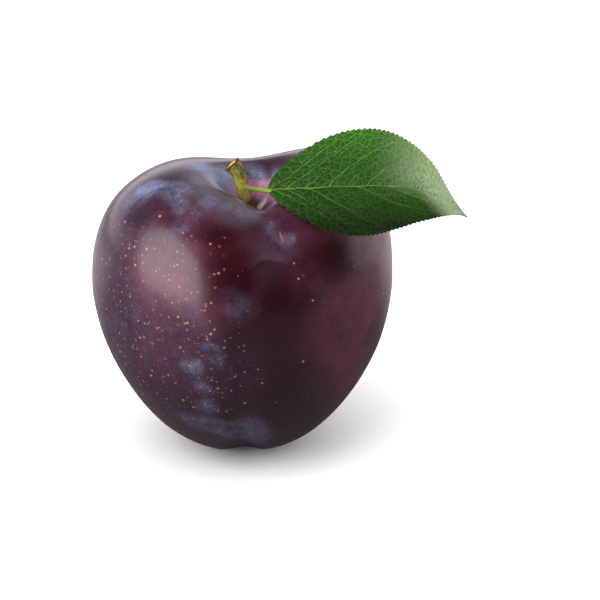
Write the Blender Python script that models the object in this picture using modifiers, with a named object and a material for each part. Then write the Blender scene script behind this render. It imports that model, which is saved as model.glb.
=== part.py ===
"""A ripe dark plum standing on the small flat spot under its tip, with its short stalk and one leaf.

Run it with: blender --background --python part.py

Frame: metres, +Z up, origin in the middle of the flat spot that the plum rests on. The leaf points to +X,
and the seam of the fruit runs down the side that faces -Y.
Three pieces grow together here and nothing moves: the fruit, its stalk, and the leaf with its leaf stalk.
"""

from math import atan2, cos, exp, hypot, pi, radians, sin

import bmesh
import bpy
from mathutils import Vector

MM = 0.001

# Fruit. It is widest above its middle and narrows towards the tip that it stands on.
FRUIT_RADIUS = 28.4 * MM  # of the plain round body, before the terms below fill out its shoulders
FRUIT_HALF_HEIGHT = 29.45 * MM
FRUIT_MIDDLE = 27.5 * MM
GIRTH_TERMS = (0.244, 0.12, 0.106, 0.227)  # girth added with the first to the fourth power of height
HEIGHT_TERMS = (0.149, 0.073)  # height added with the second and third power of height
FRONT_TO_BACK = 0.97  # depth as a share of width
SIDE_LEAN = 3.6 * MM  # how much higher the shoulder under the leaf sits than the middle
LEAN_SHIFT = 0.6  # over 0.5 spreads that lean from the back of the crown towards the front
UNDERSIDE_CUT = 0.9 * MM  # height of the round underside that the flat spot takes off

# Stalk cavity and seam.
CAVITY_CENTRE = Vector((3.0, -1.0)) * MM
CAVITY_DEPTH, CAVITY_WIDTH = 9.5 * MM, 5.9 * MM
SADDLE_X = 1.5 * MM
SADDLE_DEPTH, SADDLE_WIDTH = 5.5 * MM, 13.7 * MM  # the crown dips front and back, along the seam
SEAM_TOP_X = 3.3 * MM  # the seam drifts from here at the crown to the middle at the tip
SEAM_DEPTH = 1.2 * MM
SEAM_TOP_WIDTH, SEAM_TIP_WIDTH = 5.0 * MM, 2.7 * MM
SEAM_FLATTER_BANK = 1.0  # how much wider the bank on the leaf's side is at the crown
NOTCH_CENTRE = Vector((4.2, -9.0)) * MM  # the sharper dip where the seam runs into the cavity
NOTCH_DEPTH, NOTCH_WIDTH, NOTCH_LENGTH = 1.8 * MM, 2.4 * MM, 4.5 * MM

# Stalk, as places on its middle line and its radius there, from its foot in the cavity to its cut end.
STALK = (
    (Vector((1.1, -1.0, 50.75)) * MM, 1.15 * MM),
    (Vector((0.8, -0.9, 51.8)) * MM, 1.2 * MM),
    (Vector((0.3, -0.7, 54.1)) * MM, 1.2 * MM),
    (Vector((-0.4, -0.4, 56.5)) * MM, 1.3 * MM),
    (Vector((-1.9, -0.2, 58.6)) * MM, 1.7 * MM),
)

# Leaf. Its midrib is one Bezier arc, and the blade opens to both sides of that.
MIDRIB = (
    Vector((5.27, -9.26, 56.62)) * MM,
    Vector((29.52, -18.02, 60.45)) * MM,
    Vector((32.66, -22.57, 63.75)) * MM,
    Vector((41.92, -18.42, 54.55)) * MM,
)
BLADE_TWIST = radians(3.9)  # how much more the blade slopes at its tip than at its base
# Each half of the blade: its side of the midrib, its reach where it is widest, its slope above the horizontal at
# the base, and the two powers by which it widens from the base and narrows to the tip.
BACK_HALF = (1.0, 11.0 * MM, radians(47.5), 0.668, 1.634)
FRONT_HALF = (-1.0, 12.1 * MM, radians(21.8), 0.876, 1.391)
BLADE_THICKNESS = 0.45 * MM
BLADE_END_HALF_WIDTH = 0.3 * MM
RIB_DROP = 0.25 * MM  # the midrib stands out of the underside of the blade
RIB_END = 0.97  # as a share of the length of the blade
LEAF_STALK_START = Vector((1.3, -2.05, 54.3)) * MM
LEAF_STALK_RADIUS, RIB_TIP_RADIUS = 0.5 * MM, 0.3 * MM

FRUIT_RINGS, FRUIT_SEGMENTS = 40, 44
RING_CROWDING = 1.3  # over 1 draws the rings of faces together in the stalk cavity
BLADE_STEPS, BLADE_COLUMNS = 36, 12
TUBE_SIDES = 12
RIB_POINTS = 9
WELD_DISTANCE = 0.001 * MM
SHARP_ANGLE = radians(50.0)

SKIN = (0.036, 0.008, 0.014)
STALK_GREEN = (0.17, 0.18, 0.03)
LEAF_GREEN = (0.05, 0.16, 0.02)


def smooth_step(value):
    share = min(max(value, 0.0), 1.0)
    return share * share * (3.0 - 2.0 * share)


def bell(distance, width):
    return exp(-((distance / width) ** 2))


def skin_point(polar, azimuth):
    """The fruit's surface, from the angle away from the stalk and the angle round the fruit."""
    up, side = cos(polar), sin(polar)
    girth = FRUIT_RADIUS * side * (1.0 + sum(term * up**power for power, term in enumerate(GIRTH_TERMS, 1)))
    x = girth * cos(azimuth)
    y = girth * sin(azimuth) * FRONT_TO_BACK
    height = up + sum(term * up**power for power, term in enumerate(HEIGHT_TERMS, 2))
    z = FRUIT_MIDDLE + FRUIT_HALF_HEIGHT * height
    crown = smooth_step(up)
    z += crown * SIDE_LEAN * x / FRUIT_RADIUS * smooth_step(LEAN_SHIFT + y / FRUIT_RADIUS)
    z -= crown * SADDLE_DEPTH * bell(x - SADDLE_X, SADDLE_WIDTH)
    from_cavity = hypot(x - CAVITY_CENTRE.x, y - CAVITY_CENTRE.y)
    z -= crown * CAVITY_DEPTH * bell(from_cavity, CAVITY_WIDTH)
    share = (1.0 + up) / 2.0
    aside = x - SEAM_TOP_X * share
    ahead = smooth_step(-2.0 * y / FRUIT_RADIUS)
    width = SEAM_TIP_WIDTH + (SEAM_TOP_WIDTH - SEAM_TIP_WIDTH) * share
    if aside > 0.0:
        width *= 1.0 + SEAM_FLATTER_BANK * share
    groove = ahead * SEAM_DEPTH * bell(aside, width)
    notch = NOTCH_DEPTH * bell(x - NOTCH_CENTRE.x, NOTCH_WIDTH) * bell(y - NOTCH_CENTRE.y, NOTCH_LENGTH)
    z -= crown * notch
    outward = Vector((side * cos(azimuth), side * sin(azimuth), up))
    return Vector((x, y, z)) - groove * outward


def build_fruit(name, collection, material):
    """A UV sphere drawn out into the fruit, then cut level where it stands."""
    shape = bmesh.new()
    bmesh.ops.create_uvsphere(shape, u_segments=FRUIT_SEGMENTS, v_segments=FRUIT_RINGS, radius=1.0)
    for vertex in shape.verts:
        across = hypot(vertex.co.x, vertex.co.y)
        polar = pi * (atan2(across, vertex.co.z) / pi) ** RING_CROWDING
        vertex.co = skin_point(polar, atan2(vertex.co.y, vertex.co.x))
    everything = shape.verts[:] + shape.edges[:] + shape.faces[:]
    bmesh.ops.bisect_plane(
        shape, geom=everything, plane_co=(0.0, 0.0, UNDERSIDE_CUT), plane_no=(0.0, 0.0, 1.0), clear_inner=True
    )
    bmesh.ops.holes_fill(shape, edges=[edge for edge in shape.edges if edge.is_boundary])
    bmesh.ops.translate(shape, verts=shape.verts, vec=(0.0, 0.0, -UNDERSIDE_CUT))
    bmesh.ops.recalc_face_normals(shape, faces=shape.faces)
    return add_object(name, shape, collection, material)


def add_object(name, shape, collection, material):
    mesh = bpy.data.meshes.new(name)
    shape.to_mesh(mesh)
    shape.free()
    mesh.shade_smooth()
    mesh.set_sharp_from_angle(angle=SHARP_ANGLE)
    mesh.materials.append(material)
    obj = bpy.data.objects.new(name, mesh)
    collection.objects.link(obj)
    return obj


def tube_mesh(name, points):
    """A round closed tube through (position, radius) points, as a mesh."""
    curve = bpy.data.curves.new(name, "CURVE")
    curve.dimensions = "3D"
    curve.bevel_depth = 1.0
    curve.bevel_resolution = TUBE_SIDES // 4 - 1
    curve.resolution_u = 4
    curve.use_fill_caps = True
    spline = curve.splines.new("BEZIER")
    spline.bezier_points.add(len(points) - 1)
    for bezier_point, (position, radius) in zip(spline.bezier_points, points):
        bezier_point.co = position
        bezier_point.radius = radius
        bezier_point.handle_left_type = "AUTO"
        bezier_point.handle_right_type = "AUTO"
    guide = bpy.data.objects.new(name + "_path", curve)
    mesh = bpy.data.meshes.new_from_object(guide)
    bpy.data.objects.remove(guide)
    bpy.data.curves.remove(curve)
    shape = bmesh.new()
    shape.from_mesh(mesh)
    bpy.data.meshes.remove(mesh)
    bmesh.ops.remove_doubles(shape, verts=shape.verts, dist=WELD_DISTANCE)
    bmesh.ops.recalc_face_normals(shape, faces=shape.faces)
    return shape


def build_stalk(name, collection, material):
    return add_object(name, tube_mesh(name, STALK), collection, material)


def midrib_point(along):
    """(point, direction) on the midrib, from 0 at the leaf stalk to 1 at the tip of the leaf."""
    start, first, second, end = MIDRIB
    left = 1.0 - along
    point = start * left**3 + first * 3 * left**2 * along + second * 3 * left * along**2 + end * along**3
    direction = (first - start) * left**2 + (second - first) * 2 * left * along + (end - second) * along**2
    return point, direction.normalized()


def blade_point(along, across):
    """The blade's middle surface. Across runs from -1 at the front edge to 1 at the back edge."""
    side, widest, slope, rise, fall = BACK_HALF if across > 0.0 else FRONT_HALF
    point, direction = midrib_point(along)
    slope += BLADE_TWIST * along
    outward = Vector((0.0, cos(slope), sin(slope)))
    outward -= direction * outward.dot(direction)
    outward.normalize()
    peak = rise / (rise + fall)
    width = widest * (max(along, 0.0) / peak) ** rise * (max(1.0 - along, 0.0) / (1.0 - peak)) ** fall
    return point + outward * (side * abs(across) * (width + BLADE_END_HALF_WIDTH))


def build_leaf(name, collection, helpers, material):
    """The blade as a grid bent to shape and made solid, joined to one tube that is leaf stalk and midrib."""
    shape = bmesh.new()
    bmesh.ops.create_grid(shape, x_segments=BLADE_STEPS, y_segments=BLADE_COLUMNS, size=1.0)
    for vertex in shape.verts:
        vertex.co = blade_point((vertex.co.x + 1.0) / 2.0, vertex.co.y)
    bmesh.ops.recalc_face_normals(shape, faces=shape.faces)
    leaf = add_object(name, shape, collection, material)
    solidify = leaf.modifiers.new("thickness", "SOLIDIFY")
    solidify.thickness = BLADE_THICKNESS
    solidify.offset = 0.0
    points = [(LEAF_STALK_START, LEAF_STALK_RADIUS)]
    for step in range(RIB_POINTS):
        along = RIB_END * step / (RIB_POINTS - 1)
        position = midrib_point(along)[0] - Vector((0.0, 0.0, RIB_DROP))
        points.append((position, LEAF_STALK_RADIUS + (RIB_TIP_RADIUS - LEAF_STALK_RADIUS) * along))
    rib = add_object(name + "_rib", tube_mesh(name + "_rib", points), helpers, material)
    rib.hide_render = True
    rib.display_type = "WIRE"
    join = leaf.modifiers.new("midrib", "BOOLEAN")
    join.operation = "UNION"
    join.solver = "EXACT"
    join.object = rib
    return leaf


def make_material(name, colour, roughness, coat=0.0):
    material = bpy.data.materials.new(name)
    material.use_nodes = True
    shader = material.node_tree.nodes["Principled BSDF"]
    shader.inputs["Base Color"].default_value = (*colour, 1.0)
    shader.inputs["Roughness"].default_value = roughness
    shader.inputs["Coat Weight"].default_value = coat
    return material


def main():
    for obj in list(bpy.data.objects):
        bpy.data.objects.remove(obj)
    plum = bpy.data.collections.new("plum")
    helpers = bpy.data.collections.new("plum_helpers")
    helpers.hide_render = True
    bpy.context.scene.collection.children.link(plum)
    bpy.context.scene.collection.children.link(helpers)
    build_fruit("plum_fruit", plum, make_material("plum_skin", SKIN, 0.35, 0.3))
    build_stalk("stalk", plum, make_material("stalk_bark", STALK_GREEN, 0.7))
    build_leaf("leaf", plum, helpers, make_material("leaf_blade", LEAF_GREEN, 0.5))


if __name__ == "__main__":
    main()
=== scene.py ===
"""A ripe dark plum with its short stalk and one leaf, in a plain white studio.

The file is laid out as an add-on and run as a script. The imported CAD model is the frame: the fruit, the stalk and
the leaf are built finer in the places that it gives them, and they stand for its three nodes.
Frame: metres, +Z up, origin where the fruit stands. The leaf points to +X, and the seam faces -Y.
"""

from math import acos, atan2, cos, exp, hypot, pi, radians, sin, tan

import bmesh
import bpy
from bpy.props import FloatProperty, FloatVectorProperty, IntProperty, PointerProperty
from bpy.types import Operator, Panel, PropertyGroup
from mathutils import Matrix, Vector, noise


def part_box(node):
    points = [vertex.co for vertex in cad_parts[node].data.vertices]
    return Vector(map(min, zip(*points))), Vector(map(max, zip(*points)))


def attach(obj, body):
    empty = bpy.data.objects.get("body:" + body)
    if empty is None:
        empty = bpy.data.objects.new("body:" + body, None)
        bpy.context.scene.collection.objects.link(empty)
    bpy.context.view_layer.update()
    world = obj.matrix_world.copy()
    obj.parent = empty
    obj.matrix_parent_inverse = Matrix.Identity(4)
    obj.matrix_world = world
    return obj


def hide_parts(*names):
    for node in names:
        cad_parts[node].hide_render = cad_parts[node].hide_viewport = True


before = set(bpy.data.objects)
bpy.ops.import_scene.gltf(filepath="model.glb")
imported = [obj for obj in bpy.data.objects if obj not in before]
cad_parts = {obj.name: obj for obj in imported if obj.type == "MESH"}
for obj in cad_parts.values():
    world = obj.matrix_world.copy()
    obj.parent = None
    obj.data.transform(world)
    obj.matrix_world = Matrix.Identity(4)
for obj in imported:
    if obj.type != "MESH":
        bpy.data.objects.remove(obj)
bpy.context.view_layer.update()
FRUIT_LOW, FRUIT_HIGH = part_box("plum_fruit")

bl_info = {
    "name": "Dark plum",
    "version": (1, 0, 0),
    "blender": (4, 5, 0),
    "location": "3D View > Sidebar > Plum",
    "description": "Builds a ripe dark plum with its stalk and one leaf, and a plain studio to see it in",
    "category": "Object",
}


def linear(code):
    """An sRGB hex colour as linear red, green and blue."""
    shares = [int(code[at : at + 2], 16) / 255.0 for at in (1, 3, 5)]
    return tuple(share / 12.92 if share <= 0.04045 else ((share + 0.055) / 1.055) ** 2.4 for share in shares)


MM = 0.001
# The kinds of node that are used most.
MATH, MIX, REMAP, NOISE = "ShaderNodeMath", "ShaderNodeMix", "ShaderNodeMapRange", "ShaderNodeTexNoise"
VECTOR_MATH, SPLIT, ATTRIBUTE = "ShaderNodeVectorMath", "ShaderNodeSeparateXYZ", "ShaderNodeAttribute"
A, B = 6, 7  # the two colour inputs of a Mix node
LOW, HIGH, TO_LOW, TO_HIGH = 1, 2, 3, 4  # the inputs of a Map Range node after its value, which is 0

# Fruit, as the CAD part has it.
FRUIT_RADIUS = 28.4 * MM
FRUIT_HALF_HEIGHT = 29.45 * MM
FRUIT_MIDDLE = 27.5 * MM
GIRTH_TERMS = (0.244, 0.12, 0.106, 0.227)
HEIGHT_TERMS = (0.149, 0.073)
FRONT_TO_BACK = 0.97
SIDE_LEAN = 3.6 * MM
LEAN_SHIFT = 0.6
UNDERSIDE_CUT = 0.9 * MM
CAVITY_CENTRE = Vector((3.0, -1.0)) * MM
CAVITY_DEPTH, CAVITY_WIDTH = 9.5 * MM, 5.9 * MM
SADDLE_X = 1.5 * MM
SADDLE_DEPTH, SADDLE_WIDTH = 5.5 * MM, 13.7 * MM
SEAM_TOP_X = 3.3 * MM
SEAM_DEPTH = 1.2 * MM
SEAM_TOP_WIDTH, SEAM_TIP_WIDTH = 5.0 * MM, 2.7 * MM
SEAM_FLATTER_BANK = 1.0
NOTCH_CENTRE = Vector((4.2, -9.0)) * MM
NOTCH_DEPTH, NOTCH_WIDTH, NOTCH_LENGTH = 1.8 * MM, 2.4 * MM, 4.5 * MM
FRUIT_CUTS = 118  # across each of the six faces of the cube that the fruit is rounded from
FRUIT_CROWDING = 1.12  # over 1 draws the faces together in the stalk cavity
BOX_ROOM = 0.5 * MM  # how far the fruit may reach past the CAD one
SWELL_SIZE, SMALL_SWELL_SIZE, SMALL_SWELL_SHARE = 13.0 * MM, 5.0 * MM, 0.35
SWELL_FROM_FLOOR = 8.0 * MM  # the swells fade out below this height, towards the flat spot

# Heights, or distances from the middle of the cavity, between which a part of the skin fades in.
FLUSH_HEIGHTS, FLUSH_REACH = (54.0 * MM, 52.1 * MM), (8.0 * MM, 5.4 * MM)
# Painted shade: between these heights the pink of the cavity darkens towards the foot of the stalk.
CAVITY_SHADE_HEIGHTS = (49.2 * MM, 52.6 * MM)
DOT_TOP_HEIGHTS, DOT_FOOT_HEIGHTS = (57.0 * MM, 51.0 * MM), (8.0 * MM, 20.0 * MM)
HAZE_HEIGHTS, CROWN_HEIGHTS = (12.0 * MM, 34.0 * MM), (51.5 * MM, 54.5 * MM)
PATCH_BEND, PATCH_BENDS_PER_METRE = 2.2 * MM, 90.0  # how far and how often the edge of a patch wanders
# Where the wax bloom is still thick: (place in mm), reach in mm, strength. The last eight are on the back.
BLOOM_PATCHES = (
    ((-16.6, -8.7, 56.9), 3.2, 0.72),
    ((-18.6, -10.6, 55.2), 3.0, 0.32),
    ((-12.3, -11.2, 57.2), 3.2, 0.38),
    ((-10.9, -15.6, 55.6), 1.9, 0.4),
    ((-9.8, -19.0, 53.4), 1.8, 0.36),
    ((-6.9, -6.2, 57.3), 2.8, 0.36),
    ((-4.8, 0.2, 55.8), 3.6, 1.0),
    ((-2.6, 2.2, 54.6), 3.0, 1.1),
    ((2.4, 5.8, 54.0), 1.7, 0.8),
    ((6.5, 3.8, 54.0), 2.4, 0.9),
    ((4.0, 3.2, 49.9), 0.9, 0.7),
    ((-5.4, -12.2, 56.2), 2.4, 0.25),
    ((6.6, -17.4, 52.3), 1.6, 0.12),
    ((9.0, -19.8, 51.0), 1.6, 0.18),
    ((0.4, -27.1, 40.8), 2.8, 0.09),
    ((-8.7, -26.3, 27.4), 1.8, 0.48),
    ((-6.8, -25.6, 23.4), 1.8, 0.2),
    ((-4.1, -27.7, 29.5), 1.8, 0.22),
    ((-5.5, -28.0, 33.3), 1.6, 0.2),
    ((-6.2, -24.0, 18.6), 2.4, 0.2),
    ((-3.6, -21.4, 13.2), 3.0, 0.3),
    ((-7.8, -20.6, 12.6), 3.2, 0.2),
    ((0.8, -19.0, 11.1), 4.6, 0.26),
    ((20.0, 12.0, 52.0), 7.0, 0.6),
    ((8.0, 22.0, 50.0), 8.0, 0.5),
    ((-14.0, 19.0, 49.0), 7.0, 0.6),
    ((26.0, 8.0, 30.0), 8.0, 0.35),
    ((2.0, 27.0, 32.0), 9.0, 0.45),
    ((-24.0, 12.0, 33.0), 7.0, 0.35),
    ((12.0, 18.0, 13.0), 6.0, 0.4),
    ((-10.0, 18.0, 14.0), 6.0, 0.35),
)
# Where a thin haze of wax is thicker, on the lip in front of the stalk: (place in mm), reach in mm, strength.
HAZE_PATCHES = (
    ((2.0, -14.3, 53.3), 2.6, 2.6),
    ((-1.0, -13.6, 54.3), 2.4, 2.2),
    ((-5.0, -13.2, 55.6), 2.6, 1.5),
    ((-8.8, -17.4, 54.4), 3.0, 1.5),
    ((4.2, -19.6, 50.8), 1.9, 0.5),
)
# A thin film of wax in front of the stalk, with two wiped edges: (place in mm), reach in mm, and for each edge
# a place on it in mm and the way out over it.
FILM = ((7.2, -21.2, 49.2), 5.4)
FILM_EDGES = (
    (Vector((11.3, -20.4, 50.8)), Vector((0.8, 0.0, 0.6))),
    (Vector((4.4, -24.2, 46.6)), Vector((0.1, 0.0, -1.0))),
)
# Where the skin is rubbed clean and dark: (place in mm), reach in mm.
RUBBED_PATCHES = (
    ((0.5, -24.8, 45.5), 8.0),
    ((-2.0, -21.5, 51.0), 4.0),
    ((5.0, -27.0, 38.0), 8.0),
    ((17.0, -20.0, 46.0), 5.0),
    ((18.0, 20.0, 38.0), 9.0),
    ((-16.0, 22.0, 34.0), 8.0),
)
# A painted highlight, a pale cream streak on the cavity wall beside the foot of the stalk: (place in mm), reach in
# mm.
PAINTED_HIGHLIGHT_PATCHES = (((3.5, 1.2, 49.3), 0.55), ((4.1, 1.5, 50.0), 0.5), ((4.6, 1.7, 50.8), 0.4))
# Scar: its place in mm, its turn, and its half length and thicknesses in mm.
SCAR_PLACE, SCAR_TURN, SCAR_SIZE = (7.9, -19.6, 51.2), (0.0, radians(33.5), radians(-69.4)), (1.25, 0.22, 0.9)
DOTTED_SIDE = Vector((-0.72, -0.66, 0.02))  # the way that the most thickly dotted cheek faces
RED_CHEEK = Vector((-0.24, -0.75, 0.6))  # the way that the reddest skin faces
LOW_RED_CHEEK = Vector((-0.42, -0.9, 0.1))  # the way that a smaller red place under it faces
PAINTED_BOUNCE_CHEEK = Vector((0.95, -0.1, 0.3))  # the way that the cheek faces where painted bounce light makes the skin redder and hazier

# Stalk: places on its middle line and its radius there, from its foot in the fruit to its cut end.
STALK = (
    (Vector((1.9, -1.1, 48.6)) * MM, 1.6 * MM),
    (Vector((1.2, -1.0, 50.4)) * MM, 1.2 * MM),
    (Vector((0.8, -0.9, 51.8)) * MM, 1.17 * MM),
    (Vector((0.3, -0.7, 54.1)) * MM, 1.17 * MM),
    (Vector((-0.4, -0.4, 56.5)) * MM, 1.28 * MM),
    (Vector((-1.0, -0.3, 57.6)) * MM, 1.48 * MM),
    (Vector((-1.9, -0.2, 58.6)) * MM, 1.72 * MM),
)
STALK_SIDES, STALK_STEPS, STALK_END_RINGS = 72, 110, 8
STALK_MEAN_RADIUS = 1.2 * MM
KNOB_SIZE, WART_SIZE, WART_LEVEL = 1.5 * MM, 0.42 * MM, 0.25  # a wart stands where its noise is over the level
CUT_TEAR, CUT_HOLLOW, CUT_EDGE_DROP = 0.16 * MM, 0.35 * MM, 0.12 * MM
BARK_EDGE, BARK_EDGE_TEAR = 0.45 * MM, 0.35 * MM  # how far below the cut the bark ends, and how unevenly
PITH_SHARE, PITH_UNEVENNESS = 0.74, 0.12

# Leaf, as the CAD part has it, with the thickness of a real one.
MIDRIB = (
    Vector((5.27, -9.26, 56.62)) * MM,
    Vector((29.52, -18.02, 60.45)) * MM,
    Vector((32.66, -22.57, 63.75)) * MM,
    Vector((41.92, -18.42, 54.55)) * MM,
)
BLADE_LENGTH = 42.0 * MM
BLADE_TWIST = radians(3.9)
# Each half: its side of the midrib, its reach where it is widest, its slope, and the powers that shape its ends.
BACK_HALF = (1.0, 11.0 * MM, radians(47.5), 0.668, 1.634)
FRONT_HALF = (-1.0, 12.1 * MM, radians(21.8), 0.876, 1.391)
BLADE_BASE_HALF_WIDTH, BLADE_TIP_HALF_WIDTH = 0.3 * MM, 0.05 * MM
BLADE_STEPS, BLADE_COLUMNS = 380, 110
TEETH_UNEVENNESS, TOOTH_RISE = 0.35, 0.72  # a tooth rises over this share of its length, and falls over the rest
EDGE_WAVE = 0.42 * MM  # how far the edge of the blade waves up and down
LEAF_STALK_SIDES, LEAF_STALK_STEPS, LEAF_STALK_END_RINGS = 28, 240, 2
LEAF_STALK_ROOT = Vector((0.7, -0.8, 54.3)) * MM
LEAF_STALK_START = Vector((1.6, -2.0, 54.25)) * MM
RIB_POINTS, RIB_END, RIB_CROWDING = 13, 0.97, 1.7
# Side veins: where each leaves the midrib, as shares of the length of the blade, with weaker ones between them.
BACK_VEINS = (0.0, 0.055, 0.175, 0.33, 0.445, 0.65, 0.8)
BACK_WEAK_VEINS = (0.11, 0.25, 0.39, 0.55, 0.73)
FRONT_VEINS = (0.0, 0.05, 0.115, 0.29, 0.44, 0.6, 0.77)
FRONT_WEAK_VEINS = (0.2, 0.365, 0.52, 0.69)
WEAK_VEIN_LESS = 0.05  # how much less far than a strong vein a weak one shows, in mm

# Studio.
STUDIO_CENTRE = Vector((0.0, 0.0, 0.035))
CAMERA_TARGET = Vector((0.0113, 0.0, 0.03003))
CAMERA_LENS = 100.0
FLOOR_RADIUS = 3.0
WHITE_WALL = Vector((-0.42, 0.9, 0.1))  # the way to the middle of the white walls
WALL_LIGHT, DARK_ROOM_LIGHT = 1.0, 0.04
WALL_TINT = linear("#fff6ff")  # the walls as the fruit reflects them
# Round softboxes: azimuth and elevation in degrees, distance, width and height, power and colour.
SOFTBOXES = (
    ("key_softbox", -49.0, 19.0, 0.45, (0.52, 0.78), 3.2, "#fffbfc"),
    ("fill_softbox", 118.0, 8.0, 0.45, (0.5, 0.6), 0.55, "#ffffff"),
    ("side_softbox", 80.0, 15.0, 0.45, (0.6, 0.6), 1.0, "#ffffff"),
    ("top_softbox", -25.0, 62.0, 0.45, (0.3, 0.3), 0.6, "#ffffff"),
    ("back_softbox", 155.0, 50.0, 0.45, (0.4, 0.4), 0.27, "#fff4ff"),
)
NO_GLARE = ("side_softbox", "top_softbox")  # lights that the glossy skin does not mirror


def colour_property(name, description, code):
    return FloatVectorProperty(
        name=name, description=description, subtype="COLOR", size=3, min=0.0, max=1.0, default=linear(code)
    )


def length_property(name, description, length):
    return FloatProperty(name=name, description=description, default=length, unit="LENGTH")


class FruitSettings(PropertyGroup):
    skin: colour_property("Skin", "Darkest colour of the skin", "#23050d")
    flush: colour_property("Flush", "Red that shows through where the skin is thinner", "#783042")
    cavity_flush: colour_property("Cavity flush", "Pink of the skin inside the stalk cavity", "#dc86ae")
    # Painted highlight: a near-white cream laid on the cavity wall beside the foot of the stalk.
    cavity_highlight: colour_property("Cavity floor", "Pale skin round the foot of the stalk", "#fbeedd")
    dot_halo: colour_property("Dot halo", "Red round each pore", "#8a4044")
    veil: colour_property("Veil", "Thin wax over the dark skin", "#866f92")
    sheen: colour_property("Sheen", "Velvety light at the edge of the wax", "#dcd2e2")
    bloom_colour: colour_property("Bloom colour", "Colour of the wax bloom", "#929dc6")
    dot_colour: colour_property("Dot colour", "Colour of the pores", "#dba58c")
    scar: colour_property("Scar", "Colour of the healed scratch", "#b4603f")
    bloom: FloatProperty(
        name="Bloom", description="How much wax bloom is left on the skin", default=1.0, min=0.0, max=2.0
    )
    dot_spacing: length_property("Dot spacing", "Typical distance between pores", 0.85 * MM)
    unevenness: length_property("Unevenness", "Height of the soft swells of the fruit", 0.16 * MM)


class StalkSettings(PropertyGroup):
    bark: colour_property("Bark", "Green of the young bark", "#aeb24c")
    bark_dark: colour_property("Dark bark", "Deeper green between the pale parts", "#7c7c34")
    cork: colour_property("Cork", "Brown specks on the bark", "#5b4620")
    foot: colour_property("Foot", "Brown of the foot in the cavity", "#2e2410")
    cut_face: colour_property("Cut face", "Pith of the cut end", "#ecd08a")
    cut_rim: colour_property("Cut rim", "Torn brown edge of the cut end", "#86401f")
    knobbliness: length_property("Knobbliness", "Height of the swellings of the bark", 0.12 * MM)


class LeafSettings(PropertyGroup):
    blade: colour_property("Blade", "Upper side between the veins", "#1f5a0c")
    vein: colour_property("Veins", "Veins seen from above", "#8fb45c")
    # Painted sheen: pale silvery green laid over the upper side of the blade towards the tip.
    leaf_sheen: colour_property("Leaf wax", "Silvery wax towards the tip of the leaf", "#c2dea8")
    underside: colour_property("Underside", "Lower side of the blade", "#7f9b62")
    leaf_stalk: colour_property("Leaf stalk", "Stalk of the leaf", "#85a22c")
    thickness: length_property("Thickness", "Thickness of the blade", 0.28 * MM)
    teeth: IntProperty(name="Teeth", description="Teeth along each edge", default=46, min=0)
    tooth_height: length_property("Tooth height", "How far a tooth stands out", 0.42 * MM)
    relief: length_property("Relief", "How deep the veins lie in the blade", 0.16 * MM)


class StageSettings(PropertyGroup):
    distance: length_property("Camera distance", "From the camera to its target", 0.331)
    elevation: FloatProperty(
        name="Elevation", description="Camera above the horizon", default=radians(23.5), unit="ROTATION"
    )
    floor: colour_property("Floor", "Floor and backdrop", "#fafafa")
    floor_bounce: colour_property("Floor bounce", "How bright the floor is as the fruit reflects it", "#7e787e")
    floor_glow: FloatProperty(
        name="Floor glow", description="Light that comes up through the floor", default=0.8, min=0.0
    )


def smooth_step(value, low=0.0, high=1.0):
    share = min(max((value - low) / (high - low), 0.0), 1.0)
    return share * share * (3.0 - 2.0 * share)


def bell(distance, width):
    return exp(-((distance / width) ** 2))


def set_inputs(tree, node, inputs):
    """Gives each named input of a node its value, or links it to the output of another node."""
    for name, value in inputs.items():
        if isinstance(value, bpy.types.NodeSocket):
            tree.links.new(value, node.inputs[name])
        else:
            node.inputs[name].default_value = value


def add_node(tree, kind, inputs=None, out=0, **settings):
    """Adds a node with its settings and returns one of its outputs. An input takes a value or an output."""
    node = tree.nodes.new(kind)
    for name, value in settings.items():
        setattr(node, name, value)
    set_inputs(tree, node, inputs or {})
    return node.outputs[out]


def new_material(name):
    """A material with its Principled shader, its node tree and the output of Object coordinates in millimetres."""
    material = bpy.data.materials.new(name)
    material.use_nodes = True
    tree = material.node_tree
    shader = tree.nodes["Principled BSDF"]
    place = add_node(tree, "ShaderNodeTexCoord", out="Object")
    in_mm = add_node(tree, "ShaderNodeMapping", {"Vector": place, "Scale": (1 / MM,) * 3})
    return material, tree, shader, in_mm


def finish_piece(name, shape, materials, node):
    """Makes the piece from its finished shape, hangs it under the root body, and hides the CAD part that it stands
    for.
    """
    mesh = bpy.data.meshes.new(name)
    shape.to_mesh(mesh)
    shape.free()
    for material in materials:
        mesh.materials.append(material)
    mesh.shade_smooth()
    piece = bpy.data.objects.new(name, mesh)
    bpy.context.scene.collection.objects.link(piece)
    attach(piece, "root")
    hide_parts(node)
    return piece


# ------------------------------------------------------------------ fruit


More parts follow.
